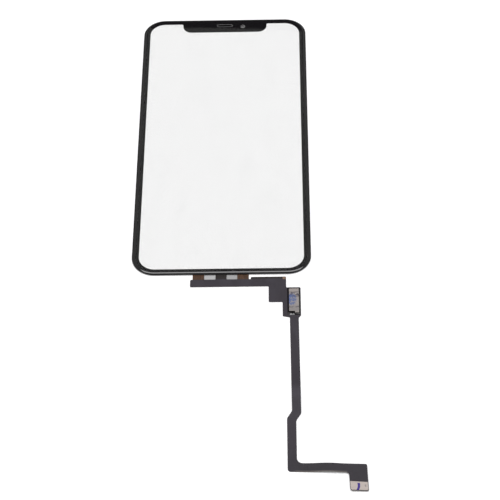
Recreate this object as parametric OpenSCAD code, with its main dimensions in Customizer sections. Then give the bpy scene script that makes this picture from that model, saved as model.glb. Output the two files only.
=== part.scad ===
// Touch screen glass of a phone, with the flexible circuit that connects it.
// The panel lies on its back: the glass faces up and the earpiece end points along +Y.
// The origin is the middle of the panel's back face, and the circuit leaves the -Y end.

/* [Cover glass] */
// Width of the glass
glass_w = 67.4; // [62:0.1:80]
// Length of the glass
glass_l = 140.6; // [125:0.1:165]
// Thickness of the glass
glass_t = 0.7; // [0.68:0.01:1.1]
// Corner radius of the glass, seen from above
glass_corner_r = 8.8; // [7:0.1:12]
// Width of the curved rim, seen from above
rim_w = 1.5; // [0.8:0.05:2]
// How far the curved rim falls from the flat face
rim_drop = 0.55; // [0.2:0.01:0.58]
// Chamfer along the lower edge of the glass
under_chamfer = 0.06; // [0.02:0.01:0.1]

/* [Printed border] */
// Thickness of the black print on the back of the glass
ink_t = 0.03; // [0.02:0.005:0.06]
// Bare glass left outside the print
ink_margin = 0.08; // [0.07:0.01:0.2]
// Width of the border along the long sides
border_side = 2.65; // [2:0.05:4]
// Width of the border at the earpiece end
border_top = 2.7; // [2:0.05:4]
// Width of the border at the circuit end
border_bottom = 2.7; // [2.2:0.05:4]
// Corner radius of the clear window
window_corner_r = 6.2; // [4:0.1:7]
// Width of the notch
notch_w = 34.9; // [30:0.1:40]
// Depth of the notch below the top border
notch_d = 5.1; // [4.5:0.1:6]
// Radius of the notch's lower corners
notch_r = 3.7; // [2:0.1:4]
// Radius where the notch meets the top border
notch_top_r = 0.7; // [0.3:0.1:1]

/* [Earpiece and camera] */
// Length of the earpiece slot
slot_l = 6.5; // [5:0.1:8]
// Width of the earpiece slot
slot_w = 1.3; // [1:0.1:1.8]
// Chamfer round the mouth of the slot
slot_chamfer = 0.25; // [0.1:0.05:0.4]
// Distance from the top edge of the glass to the middle of the slot
slot_from_top = 4.1; // [3.4:0.1:4.6]
// Rim of the mesh that is glued round the slot
mesh_rim = 0.6; // [0.5:0.05:0.8]
// Thickness of the earpiece mesh
mesh_t = 0.08; // [0.05:0.01:0.08]
// Width of one hole in the mesh
mesh_hole = 0.26; // [0.15:0.01:0.3]
// Distance between neighbouring holes in the mesh
mesh_pitch = 0.42; // [0.4:0.01:0.6]
// Thickness of the acoustic cloth under the mesh
cloth_t = 0.03; // [0.02:0.01:0.04]
// Thickness of the foam gasket under the cloth
gasket_t = 0.1; // [0.05:0.01:0.12]
// Width of the foam gasket's wall
gasket_wall = 0.6; // [0.4:0.05:0.8]
// Diameter of the camera window in the print
camera_d = 2.1; // [1.6:0.1:2.4]
// Distance from the centre line to the camera window
camera_x = 7.45; // [7:0.05:9]
// Distance from the top edge of the glass to the middle of the camera window
camera_from_top = 4.25; // [3.6:0.05:4.6]
// Clearance between the camera window and its ring
ring_clearance = 0.2; // [0.1:0.05:0.4]
// Width of the camera ring's wall
ring_wall = 0.9; // [0.4:0.1:0.9]
// Height of the camera ring
ring_h = 0.2; // [0.1:0.01:0.24]

/* [Touch sensor] */
// Thickness of the touch sensor film
sensor_t = 0.1; // [0.08:0.01:0.15]
// Distance from the edge of the glass to the edge of the sensor film
sensor_inset = 0.85; // [0.6:0.05:1.1]
// Thickness of the clear adhesive
adhesive_t = 0.15; // [0.15:0.01:0.25]
// Distance from the edge of the sensor film to the edge of the adhesive
adhesive_inset = 0.25; // [0.1:0.05:0.4]
// How far the sensor film and adhesive reach under the print round the notch
notch_overlap = 0.8; // [0.6:0.05:1]

/* [Flexible circuit layers] */
// Thickness of the amber base film with its copper
base_t = 0.08; // [0.06:0.01:0.1]
// Thickness of each black cover film
cover_t = 0.04; // [0.03:0.005:0.05]

/* [Tails] */
// Gap between the edge of the glass and the bar
bar_gap = 2.3; // [2:0.05:4]
// Distance that the tails reach under the glass
tail_reach = 2; // [1.6:0.05:2.1]
// Distance from the centre line to the middle of the left tail
left_tail_x = 8.45; // [7.8:0.05:8.5]
// Distance from the centre line to the middle of the right tail
right_tail_x = 8.2; // [7.8:0.05:8.3]
// Width of the two amber tails
tail_w = 4.3; // [3:0.1:4.3]
// Width of the black tail between them
mid_tail_w = 4.1; // [3:0.1:5]
// Clearance round the tails in the adhesive
tail_clearance = 0.4; // [0.2:0.05:0.6]
// Number of copper traces on an amber tail
traces = 11; // [5:1:14]
// Width of one copper trace
trace_w = 0.16; // [0.1:0.01:0.18]
// Thickness of one copper trace
trace_t = 0.02; // [0.01:0.005:0.03]

/* [Circuit outline] */
// Distance from the centre line to the free end of the bar
bar_left = 11.5; // [11.4:0.1:16]
// Height of the bar, seen from above
bar_h = 3.5; // [3:0.1:5]
// Distance from the centre line to the shoulder
shoulder_x = 11.1; // [10.9:0.1:12]
// Length of the shoulder
shoulder_l = 13.1; // [12:0.1:16]
// How far the shoulder stands above the bar
shoulder_rise = 1.05; // [0.8:0.05:1.5]
// Width of the block below the shoulder
block_w = 6.5; // [5:0.1:9]
// How far the block reaches below the bar
block_drop = 7.6; // [5:0.1:11]
// How far the chip land reaches past the shoulder
land_step = 5.3; // [5:0.1:6]
// Width of the chip land
land_w = 6.7; // [6.2:0.1:7.5]
// Length of the chip land
land_l = 13.9; // [13.6:0.1:16]
// Distance from the lower edge of the bar to the top of the land
land_drop = 0.7; // [0.5:0.1:3]
// Slope of the land's lower corners
land_slope = 0.5; // [0.2:0.1:0.6]
// Width of the strip
strip_w = 3.25; // [2.6:0.05:3.3]
// Distance from the left edge of the land to the strip
strip_inset = 2.6; // [2:0.05:2.9]
// Length of the strip from the land to the jog
strip_l = 43.2; // [34:0.1:60]
// How far the strip leans sideways over that length
strip_lean = 0.25; // [0:0.05:1]
// Length of the jog
jog_l = 3; // [2.5:0.1:6]
// Sideways step of the jog
jog_shift = 1.8; // [1:0.05:2.2]
// Radius of the jog's bends
jog_r = 2.4; // [1:0.1:3]
// Length of the strip from the jog to the arm
lower_strip_l = 18.3; // [14:0.1:30]
// Length of the arm, over its whole width
arm_l = 27.2; // [25:0.1:34]
// Height of the arm, seen from above
arm_h = 3.65; // [3:0.05:4.5]
// Angle at which the arm turns away from square
arm_angle = 2.4; // [0:0.1:4]
// Width of the connector pad
pad_w = 6.3; // [6:0.1:7.5]
// How far the pad reaches below the arm
pad_drop = 7.35; // [6:0.05:10]
// How far the pad leans sideways over that drop
pad_lean = 0.25; // [0:0.05:0.4]

/* [How the film lies] */
// Height of the slow wave in the strip
strip_wave_h = 0.45; // [0:0.05:0.9]
// Height of the arch in the arm
arm_arch_h = 0.7; // [0.5:0.05:1.2]
// Steps that make up one rise or fall of the film
wave_steps = 8; // [4:1:12]

/* [Chip land] */
// Thickness of the stiffener under the chips
land_stiffener_t = 0.1; // [0.05:0.01:0.2]
// Edge of the land that the stiffener leaves bare
land_stiffener_inset = 0.3; // [0.2:0.05:0.5]
// Width of the touch controller chip
controller_w = 3.3; // [3:0.1:3.3]
// Length of the touch controller chip
controller_l = 5.2; // [4.5:0.1:5.3]
// Height of the touch controller chip
controller_h = 0.4; // [0.3:0.01:0.5]
// Height of the solder balls under the chips
ball_h = 0.1; // [0.06:0.01:0.14]
// Diameter of the solder balls
ball_d = 0.2; // [0.12:0.01:0.24]
// Distance between neighbouring solder balls
ball_pitch = 0.5; // [0.4:0.05:0.6]
// Width of the memory chip
memory_w = 1.9; // [1.6:0.1:2]
// Length of the memory chip
memory_l = 3; // [2.5:0.1:3.1]
// Height of the memory chip
memory_h = 0.3; // [0.2:0.01:0.38]
// Number of capacitors beside the memory chip
capacitors = 4; // [2:1:4]
// Length of one capacitor
capacitor_l = 1; // [0.8:0.1:1]
// Width of one capacitor
capacitor_w = 0.5; // [0.4:0.05:0.5]
// Height of one capacitor
capacitor_h = 0.35; // [0.25:0.01:0.4]
// Thickness of the black tape over the chips
tape_t = 0.05; // [0.03:0.01:0.08]
// Width of the flat top of the tape
tape_w = 3.9; // [3.9:0.1:4.1]
// Length of the flat top of the tape
tape_l = 11; // [10.8:0.1:11.2]
// Run of the tape's slope on three sides
tape_run = 0.35; // [0.3:0.05:0.4]
// Run of the tape's slope towards the strip
tape_end_run = 1.1; // [0.8:0.1:1.2]
// Width of the tape's flat edge on the film
tape_skirt = 0.15; // [0.1:0.01:0.18]
// Thickness of the label on the tape
label_t = 0.06; // [0.04:0.01:0.1]
// Edge of the tape that the label leaves bare
label_margin = 0.15; // [0.1:0.05:0.3]
// Width and length of the bare ground pad in the shoulder's corner
ground_pad_w = 1.1; // [0.8:0.1:1.4]
// Edge of the shoulder outside the ground pad
ground_pad_margin = 0.15; // [0.1:0.05:0.3]

/* [Board connector] */
// Height of the connector under the film
connector_h = 0.5; // [0.45:0.01:0.7]
// Length of the connector body
connector_l = 5.2; // [5.2:0.1:5.4]
// Width of the connector body
connector_w = 1.9; // [1.7:0.1:2.2]
// Width of the cavity between the two rows
cavity_w = 0.7; // [0.5:0.05:0.8]
// Length of the solid block at each end of the connector
end_block = 0.5; // [0.4:0.05:0.6]
// Number of contacts in a row
contacts = 11; // [6:1:11]
// Distance between neighbouring contacts
contact_pitch = 0.35; // [0.3:0.01:0.38]
// Width of one contact
contact_w = 0.16; // [0.1:0.01:0.2]
// Thickness of the contact metal
contact_t = 0.05; // [0.03:0.01:0.05]
// Length of a contact's soldered foot
contact_foot = 0.25; // [0.15:0.05:0.35]
// Thickness of the steel stiffener over the connector
pad_stiffener_t = 0.18; // [0.1:0.01:0.3]
// Length of the stiffener along its left side
pad_stiffener_l = 3.5; // [3.2:0.05:4]
// How much shorter the stiffener is along its right side
pad_stiffener_skew = 0.2; // [0:0.05:0.4]
// Edge of the pad that the stiffener leaves bare
pad_margin = 0.17; // [0.1:0.01:0.3]

/* [Hidden] */

// Radius and turn of the arc that the curved rim follows
rim_r = (rim_w * rim_w + rim_drop * rim_drop) / (2 * rim_drop);
rim_turn = asin(rim_w / rim_r);

// Steps in a rounded corner of the panel and of the circuit
panel_arc_steps = 16;
film_arc_steps = 5;
rim_steps = 8;
// A length past any edge, for cuts that go right through
over = 1;

// Heights of the panel's layers above its back face
adhesive_z = sensor_t;
ink_z = adhesive_z + adhesive_t;
glass_z = ink_z + ink_t;

// Edges of the panel's clear window, and the notch in it
top_y = glass_l / 2;
bottom_y = -glass_l / 2;
window_x = glass_w / 2 - border_side;
window_top_y = top_y - border_top;
window_bottom_y = bottom_y + border_bottom;
notch_y = window_top_y - notch_d;
slot_y = top_y - slot_from_top;
camera_y = top_y - camera_from_top;

// Tails: left edge and width of each, and the line where they end under the glass
left_tail = [-left_tail_x - tail_w / 2, tail_w];
mid_tail = [-mid_tail_w / 2, mid_tail_w];
right_tail = [right_tail_x - tail_w / 2, tail_w];
tail_end_y = bottom_y + tail_reach;

// Edges of the bar, shoulder, block and chip land
bar_top_y = bottom_y - bar_gap;
bar_bottom_y = bar_top_y - bar_h;
shoulder_top_y = bar_top_y + shoulder_rise;
shoulder_right_x = shoulder_x + shoulder_l;
block_left_x = shoulder_right_x - block_w;
block_bottom_y = bar_bottom_y - block_drop;
land_right_x = shoulder_right_x + land_step;
land_left_x = land_right_x - land_w;
land_top_y = bar_bottom_y - land_drop;
land_bottom_y = land_top_y - land_l;

// Edges of the strip, arm and pad
strip_x = land_left_x + strip_inset;
jog_top_y = land_bottom_y - strip_l;
jog_bottom_y = jog_top_y - jog_l;
lower_strip_x = strip_x + strip_lean - jog_shift;
arm_top_y = jog_bottom_y - lower_strip_l;
arm_bottom_y = arm_top_y - arm_h;
arm_right_x = lower_strip_x + arm_l;
arm_fall = arm_l * tan(arm_angle);
pad_left_x = arm_right_x - pad_w;
pad_left_fall = (arm_l - pad_w) * tan(arm_angle);
pad_bottom_y = arm_bottom_y - pad_left_fall - pad_drop;
pad_fall = pad_w * tan(arm_angle);

// Heights of the base film's underside: on the sensor, over the stiffener, on the table, over the connector
tail_z = sensor_t;
land_z = land_stiffener_t + cover_t;
table_z = cover_t;
pad_z = connector_h;

// How the film lies from the tails to the arm, as [y, height], and along the arm, as [x, height]
strip_lie = [
    [bottom_y - 0.3, tail_z],
    [shoulder_top_y, land_z],
    [land_bottom_y, land_z],
    [land_bottom_y - strip_l * 0.2, table_z],
    [land_bottom_y - strip_l * 0.5, table_z],
    [land_bottom_y - strip_l * 0.8, table_z + strip_wave_h],
    [jog_bottom_y - lower_strip_l * 0.3, table_z]
];
arm_bend_x = lower_strip_x + strip_w + 2;
arm_lie = [
    [arm_bend_x, table_z],
    [arm_bend_x + (pad_left_x - arm_bend_x) * 0.6, table_z + arm_arch_h],
    [pad_left_x, pad_z]
];
// The two directions of bending meet just past this line, where the film lies flat on the table
fold_y = arm_top_y + 2.2;
far = 200;

// Chip land: the tape's top is centred over the strip, and the chips stand under it
tape_x = land_right_x - 2.5;
tape_top_y = land_top_y - 0.9;
land_top_z = land_z + base_t;
cover_top_z = land_top_z + cover_t;
chip_top_z = land_top_z + ball_h + controller_h;
tape_h = chip_top_z - cover_top_z + tape_t;
controller_y = tape_top_y - 0.45 - controller_l / 2;
memory_top_y = controller_y - controller_l / 2 - 0.5;
memory_y = memory_top_y - memory_l / 2;
memory_x = tape_x - controller_w / 2 + memory_w / 2;
capacitor_x = tape_x + controller_w / 2 - capacitor_l / 2;

// Connector: centred under the stiffener
stiffener_drop = pad_drop - pad_margin - pad_stiffener_l / 2;
stiffener_y = pad_bottom_y + pad_drop - stiffener_drop - pad_fall / 2;
pad_x = (pad_left_x + arm_right_x) / 2 + pad_lean * stiffener_drop / pad_drop;
contact_gap_z = 0.01;

// Unit vector along v
function unit(v) = v / norm(v);

// The rounded corner at p, between its neighbours a and b
function corner(a, p, b, r, steps) =
    let (
        u = unit(a - p),
        v = unit(b - p),
        half = acos(u * v) / 2,
        centre = p + unit(u + v) * r / sin(half),
        from = p + u * r / tan(half) - centre,
        to = p + v * r / tan(half) - centre,
        start = atan2(from.y, from.x),
        turn = (atan2(to.y, to.x) - start + 540) % 360 - 180
    )
    [for (i = [0:steps]) centre + r * [cos(start + turn * i / steps), sin(start + turn * i / steps)]];

// An outline whose points are [x, y, radius]
function rounded(path, steps) =
    let (n = len(path), xy = [for (p = path) [p.x, p.y]])
    [for (i = [0:n - 1]) each corner(xy[(i + n - 1) % n], xy[i], xy[(i + 1) % n], path[i].z, steps)];

function rectangle(w, l, r) = [
    [-w / 2, -l / 2, r], [-w / 2, l / 2, r],
    [w / 2, l / 2, r], [w / 2, -l / 2, r]
];

// The display area with its notch, grown by the given distance under the print
function window_path(grow) =
    let (
        x = window_x + grow,
        top = window_top_y + grow,
        bottom = window_bottom_y - grow,
        r = window_corner_r + grow,
        nx = notch_w / 2 - grow,
        ny = notch_y + grow
    )
    [
        [-x, bottom, r], [-x, top, r],
        [-nx, top, notch_top_r], [-nx, ny, notch_r], [nx, ny, notch_r], [nx, top, notch_top_r],
        [x, top, r], [x, bottom, r]
    ];

// Outline of a layer behind the glass, inset from its edge, with the notch cut out for camera and earpiece
function layer_path(inset, overlap) =
    let (
        x = glass_w / 2 - inset,
        y = glass_l / 2 - inset,
        r = glass_corner_r - inset,
        nx = notch_w / 2 - overlap,
        ny = notch_y + overlap
    )
    [
        [-x, -y, r], [-x, y, r],
        [-nx, y, notch_top_r], [-nx, ny, notch_r - overlap],
        [nx, ny, notch_r - overlap], [nx, y, notch_top_r],
        [x, y, r], [x, -y, r]
    ];

module panel_outline(path) {
    polygon(rounded(path, panel_arc_steps));
}

module stadium(l, w) {
    polygon(rounded(rectangle(l, w, w / 2 - 0.02), film_arc_steps + 3));
}

// Cross-section of the glass from its middle to the arc of its rim, at half width half
module glass_section(half) {
    rim = [
        for (i = [0:rim_steps])
            let (a = rim_turn * i / rim_steps)
            [half - rim_w + rim_r * sin(a), glass_t - rim_r + rim_r * cos(a)]
    ];
    polygon(concat([[0, 0], [0, glass_t]], rim, [[half, under_chamfer], [half - under_chamfer, 0]]));
}

// Polished glass: a flat middle, four straight rims and four turned corners
module glass_body() {
    r = glass_corner_r;
    w = glass_w - 2 * r;
    l = glass_l - 2 * r;
    translate([-w / 2, -l / 2, 0]) cube([w, l, glass_t]);
    for (side = [0:3]) {
        long = side % 2 == 0;
        rotate([0, 0, 90 * side])
            translate([(long ? w : l) / 2, (long ? l : w) / 2, 0])
                rotate([90, 0, 0]) linear_extrude(long ? l : w) glass_section(r);
        rotate([0, 0, 90 * side])
            translate([(long ? w : l) / 2, (long ? l : w) / 2, 0])
                rotate_extrude(angle = 90) glass_section(r);
    }
}

module cover_glass() {
    color([0.8, 0.86, 0.88, 0.4]) translate([0, 0, glass_z]) difference() {
        glass_body();
        translate([0, slot_y, 0]) {
            translate([0, 0, -over]) linear_extrude(glass_t + 2 * over) stadium(slot_l, slot_w);
            hull() {
                translate([0, 0, glass_t - slot_chamfer])
                    linear_extrude(slot_chamfer / 2) stadium(slot_l, slot_w);
                translate([0, 0, glass_t])
                    linear_extrude(over) stadium(slot_l + 2 * slot_chamfer, slot_w + 2 * slot_chamfer);
            }
        }
    }
}

module ink_border() {
    w = glass_w - 2 * ink_margin;
    l = glass_l - 2 * ink_margin;
    color([0.06, 0.06, 0.065]) translate([0, 0, ink_z]) linear_extrude(ink_t) difference() {
        panel_outline(rectangle(w, l, glass_corner_r - ink_margin));
        panel_outline(window_path(0));
        translate([0, slot_y]) stadium(slot_l, slot_w);
        translate([camera_x, camera_y]) circle(d = camera_d, $fn = 48);
    }
}

module earpiece_mesh() {
    columns = floor((slot_l - mesh_hole) / mesh_pitch);
    rows = floor((slot_w - mesh_hole) / mesh_pitch) + 1;
    color([0.12, 0.12, 0.13]) translate([0, slot_y, ink_z - mesh_t]) difference() {
        linear_extrude(mesh_t) stadium(slot_l + 2 * mesh_rim, slot_w + 2 * mesh_rim);
        for (i = [0:columns - 1], j = [0:rows - 1])
            translate([(i - (columns - 1) / 2) * mesh_pitch, (j - (rows - 1) / 2) * mesh_pitch, mesh_t / 2])
                cube([mesh_hole, mesh_hole, 2 * mesh_t], center = true);
    }
}

module acoustic_cloth() {
    color([0.09, 0.09, 0.1]) translate([0, slot_y, ink_z - mesh_t - cloth_t])
        linear_extrude(cloth_t) stadium(slot_l + 2 * mesh_rim, slot_w + 2 * mesh_rim);
}

module earpiece_gasket() {
    l = slot_l + 2 * mesh_rim;
    w = slot_w + 2 * mesh_rim;
    z = ink_z - mesh_t - cloth_t - gasket_t;
    color([0.15, 0.15, 0.16]) translate([0, slot_y, z]) linear_extrude(gasket_t) difference() {
        stadium(l, w);
        stadium(l - 2 * gasket_wall, w - 2 * gasket_wall);
    }
}

module camera_ring() {
    bore_d = camera_d + 2 * ring_clearance;
    color([0.1, 0.1, 0.11]) translate([camera_x, camera_y, ink_z - ring_h]) difference() {
        cylinder(h = ring_h, d = bore_d + 2 * ring_wall, $fn = 64);
        translate([0, 0, -over]) cylinder(h = ring_h + 2 * over, d = bore_d, $fn = 64);
    }
}

// Clear adhesive: it fills the window in the print and leaves room for the tails
module optical_adhesive() {
    left = left_tail[0] - tail_clearance;
    right = right_tail[0] + right_tail[1] + tail_clearance;
    color([0.9, 0.93, 0.95, 0.3]) {
        translate([0, 0, adhesive_z]) linear_extrude(adhesive_t) difference() {
            panel_outline(layer_path(sensor_inset + adhesive_inset, notch_overlap));
            translate([left, bottom_y - over]) square([right - left, tail_reach + tail_clearance / 2 + over]);
        }
        translate([0, 0, ink_z]) linear_extrude(ink_t) panel_outline(window_path(0));
    }
}

module sensor_film() {
    color([0.88, 0.9, 0.9, 0.35]) linear_extrude(sensor_t)
        panel_outline(layer_path(sensor_inset, notch_overlap));
}

// Outline of the whole circuit, clockwise from the free end of the bar, with its tails up to end_y
module circuit_outline(tails, end_y) {
    strip_right_x = strip_x + strip_w;
    lower_right_x = lower_strip_x + strip_w;
    jog_offset = 0.5;
    polygon(rounded([
        [-bar_left, bar_top_y, 0.5],
        for (tail = tails) each [
            [tail[0], bar_top_y, 0.12],
            [tail[0], end_y, 0.12],
            [tail[0] + tail[1], end_y, 0.12],
            [tail[0] + tail[1], bar_top_y, 0.12]
        ],
        [shoulder_x, bar_top_y, 0.2],
        [shoulder_x, shoulder_top_y, 0.4],
        [shoulder_right_x, shoulder_top_y, 0.3],
        [shoulder_right_x, land_top_y, 0.25],
        [land_right_x, land_top_y, 0.4],
        [land_right_x, land_bottom_y + land_slope, 0.3],
        [strip_right_x, land_bottom_y - land_slope, 0.4],
        [strip_right_x + strip_lean, jog_top_y - jog_offset, jog_r],
        [lower_right_x, jog_bottom_y - jog_offset, jog_r],
        [lower_right_x, arm_top_y - strip_w * tan(arm_angle), 2],
        [arm_right_x, arm_top_y - arm_fall, 0.6],
        [arm_right_x + pad_lean, pad_bottom_y - pad_fall, 0.45],
        [pad_left_x + pad_lean, pad_bottom_y, 0.8],
        [pad_left_x, arm_bottom_y - pad_left_fall, 1],
        [lower_strip_x, arm_bottom_y, 1.1],
        [lower_strip_x, jog_bottom_y + jog_offset, jog_r],
        [strip_x + strip_lean, jog_top_y + jog_offset, jog_r],
        [strip_x, land_bottom_y - land_slope * 0.6, 0.4],
        [land_left_x, land_bottom_y + land_slope * 0.5, 0.5],
        [land_left_x, block_bottom_y, 0.4],
        [block_left_x, block_bottom_y, 0.45],
        [block_left_x, bar_bottom_y, 0.4],
        [-bar_left, bar_bottom_y, 0.5]
    ], film_arc_steps));
}

// Points of a height curve through the given keys, with a smooth rise or fall between neighbours
function lie_points(keys) = [
    for (i = [0:len(keys) - 2], s = [0:wave_steps - 1])
        let (t = s / wave_steps, from = keys[i], to = keys[i + 1])
        if (s == 0 || from[1] != to[1])
            [from[0] + (to[0] - from[0]) * t, from[1] + (to[1] - from[1]) * (1 - cos(180 * t)) / 2]
];

// Side view of one layer of the film: the height curve, level at both ends
module lie_section(keys, z, t, first, last) {
    line = concat(
        [[first, keys[0][1]]], lie_points(keys), [keys[len(keys) - 1], [last, keys[len(keys) - 1][1]]]
    );
    upper = [for (p = line) [p.x, p.y + z + t]];
    lower = [for (i = [len(line) - 1:-1:0]) [line[i].x, line[i].y + z]];
    polygon(concat(upper, lower));
}

// A layer of the film, cut to the 2D shape that it is given, z above the base film's underside
module film(z, t) {
    intersection() {
        translate([0, 0, -over]) linear_extrude(4 * over) children();
        union() {
            translate([-far, 0, 0]) rotate([90, 0, 90])
                linear_extrude(2 * far) lie_section(strip_lie, z, t, 0, fold_y - over);
            translate([0, fold_y, 0]) rotate([90, 0, 0])
                linear_extrude(far) lie_section(arm_lie, z, t, 0, far);
        }
    }
}

module flex_base() {
    color([0.55, 0.33, 0.12]) film(0, base_t) circuit_outline([left_tail, mid_tail, right_tail], tail_end_y);
}

// The corner of the shoulder where the ground pad lies bare
module ground_pad_window() {
    translate([
        shoulder_right_x - ground_pad_margin - ground_pad_w,
        shoulder_top_y - ground_pad_margin - ground_pad_w
    ]) square(ground_pad_w);
}

// The area under the tape where the chips are soldered
module chip_window() {
    translate([tape_x - tape_w / 2, tape_top_y - tape_l]) square([tape_w, tape_l]);
}

module flex_cover() {
    color([0.2, 0.2, 0.22]) film(base_t, cover_t) difference() {
        circuit_outline([mid_tail], bottom_y + tail_reach / 2);
        ground_pad_window();
        chip_window();
    }
}

// Black film under the circuit, open round the connector
module flex_back_cover() {
    color([0.16, 0.16, 0.18]) film(-cover_t, cover_t) difference() {
        circuit_outline([mid_tail], bottom_y - 0.6);
        translate([pad_left_x - over, pad_bottom_y - 2 * over])
            square([pad_w + 3 * over, pad_stiffener_l + pad_margin + 2 * over]);
    }
}

// Copper traces along a tail, from the bar to the edge of the glass
module tail_traces(tail) {
    pitch = (tail[1] - 0.3) / traces;
    color([0.7, 0.4, 0.2]) film(base_t, trace_t)
        for (i = [0:traces - 1])
            translate([tail[0] + 0.15 + pitch * (i + 0.5) - trace_w / 2, bar_top_y])
                square([trace_w, tail_end_y - bar_top_y - 0.2]);
}

module left_tail_traces() {
    tail_traces(left_tail);
}

module right_tail_traces() {
    tail_traces(right_tail);
}

module ground_pad() {
    color([0.75, 0.52, 0.4]) film(base_t, cover_t) ground_pad_window();
}

module land_stiffener() {
    w = land_w - 2 * land_stiffener_inset;
    l = land_l - 2 * land_stiffener_inset - land_slope;
    y = land_top_y - land_stiffener_inset - l / 2;
    color([0.62, 0.62, 0.6]) translate([(land_left_x + land_right_x) / 2, y, 0])
        linear_extrude(land_stiffener_t) polygon(rounded(rectangle(w, l, 0.4), film_arc_steps));
}

// A grid of solder balls under a chip of the given size
module ball_grid(w, l) {
    columns = floor((w - ball_d) / ball_pitch);
    rows = floor((l - ball_d) / ball_pitch);
    for (i = [0:columns - 1], j = [0:rows - 1])
        translate([(i - (columns - 1) / 2) * ball_pitch, (j - (rows - 1) / 2) * ball_pitch, 0])
            cylinder(h = ball_h, d = ball_d, $fn = 16);
}

module solder_balls() {
    color([0.75, 0.75, 0.76]) {
        translate([tape_x, controller_y, land_top_z]) ball_grid(controller_w, controller_l);
        translate([memory_x, memory_y, land_top_z]) ball_grid(memory_w, memory_l);
    }
}

module chip(x, y, w, l, h) {
    translate([x - w / 2, y - l / 2, land_top_z + ball_h]) cube([w, l, h]);
}

module touch_controller() {
    color([0.13, 0.13, 0.15]) chip(tape_x, controller_y, controller_w, controller_l, controller_h);
}

module memory_chip() {
    color([0.15, 0.15, 0.16]) chip(memory_x, memory_y, memory_w, memory_l, memory_h);
}

// Ceramic capacitors, each with a wider metal cap at both ends
module capacitors() {
    cap = capacitor_l / 4;
    waist = 0.03;
    pitch = memory_l / capacitors;
    x = capacitor_x - capacitor_l / 2;
    y = memory_top_y - capacitor_w / 2;
    body = [capacitor_l - 2 * cap, capacitor_w - 2 * waist, capacitor_h - waist];
    color([0.6, 0.5, 0.4]) for (i = [0:capacitors - 1])
        translate([x, y - pitch * (i + 0.5), land_top_z]) {
            for (end = [0, capacitor_l - cap]) translate([end, 0, 0]) cube([cap, capacitor_w, capacitor_h]);
            translate([cap, waist, 0]) cube(body);
        }
}

// A low tent over the chips: its foot is grown or shrunk by grow, and it reaches down to z = low
module tent(grow, h, low) {
    x = tape_w / 2 + tape_run + grow;
    top = tape_run + grow;
    bottom = -tape_l - tape_end_run - grow;
    translate([tape_x, tape_top_y, cover_top_z]) intersection() {
        translate([0, far, 0]) rotate([90, 0, 0]) linear_extrude(2 * far)
            polygon([[-x, low], [-x, 0], [tape_run - x, h], [x - tape_run, h], [x, 0], [x, low]]);
        translate([-far, 0, 0]) rotate([90, 0, 90]) linear_extrude(2 * far)
            polygon([
                [bottom, low], [bottom, 0], [bottom + tape_end_run, h],
                [top - tape_run, h], [top, 0], [top, low]
            ]);
    }
}

module chip_tape() {
    w = tape_w + 2 * tape_run + 2 * tape_skirt;
    l = tape_l + tape_run + tape_end_run + 2 * tape_skirt;
    y = tape_top_y + tape_run + tape_skirt - l;
    color([0.1, 0.1, 0.11]) difference() {
        union() {
            translate([tape_x - w / 2, y, cover_top_z]) cube([w, l, tape_t]);
            tent(0, tape_h, 0);
        }
        tent(-tape_t, tape_h - tape_t, -over);
    }
}

module chip_label() {
    w = tape_w - 2 * label_margin;
    l = tape_l - 2 * label_margin;
    color([0.66, 0.64, 0.6]) translate([tape_x - w / 2, tape_top_y - label_margin - l, cover_top_z + tape_h])
        cube([w, l, label_t]);
}

// Moulded plug: two long walls that carry the contacts, and a full-height block at each end
module connector_housing() {
    ceiling = 0.1;
    wall_z = contact_gap_z + contact_t;
    translate([pad_x, stiffener_y, 0]) color([0.12, 0.12, 0.12]) difference() {
        union() {
            translate([-connector_l / 2 + end_block / 2, -connector_w / 2, wall_z])
                cube([connector_l - end_block, connector_w, connector_h - wall_z]);
            for (x = [-connector_l / 2, connector_l / 2 - end_block])
                translate([x, -connector_w / 2, 0]) cube([end_block, connector_w, connector_h]);
        }
        translate([-connector_l / 2 + end_block, -cavity_w / 2, -over])
            cube([connector_l - 2 * end_block, cavity_w, connector_h - ceiling + over]);
    }
}

// One row of bent contacts: each wraps the wall and has a soldered foot
module contact_row() {
    wall_z = contact_gap_z + contact_t;
    inner = cavity_w / 2;
    outer = connector_w / 2;
    blade_top = connector_h - 0.12;
    for (i = [0:contacts - 1])
        translate([(i - (contacts - 1) / 2) * contact_pitch - contact_w / 2, 0, 0])
            rotate([90, 0, 90]) linear_extrude(contact_w) polygon([
                [outer + contact_t + contact_foot, connector_h],
                [outer + contact_t + contact_foot, connector_h - contact_t],
                [outer + contact_t, connector_h - contact_t],
                [outer + contact_t, contact_gap_z],
                [inner - contact_t, contact_gap_z],
                [inner - contact_t, blade_top],
                [inner, blade_top],
                [inner, wall_z],
                [outer, wall_z],
                [outer, connector_h]
            ]);
}

module connector_contacts() {
    color([0.85, 0.68, 0.35]) translate([pad_x, stiffener_y, 0]) {
        contact_row();
        mirror([0, 1, 0]) contact_row();
    }
}

// Metal straps on the ends of the housing, soldered to the film
module connector_anchors() {
    w = connector_w * 0.6;
    x = connector_l / 2;
    foot = 0.2;
    strap_z = 0.08;
    color([0.8, 0.78, 0.72]) translate([pad_x, stiffener_y, 0])
        for (side = [0, 1])
            mirror([side, 0, 0]) translate([0, w / 2, 0]) rotate([90, 0, 0]) linear_extrude(w) polygon([
                [x, strap_z],
                [x + contact_t, strap_z],
                [x + contact_t, connector_h - contact_t],
                [x + contact_t + foot, connector_h - contact_t],
                [x + contact_t + foot, connector_h],
                [x, connector_h]
            ]);
}

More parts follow.
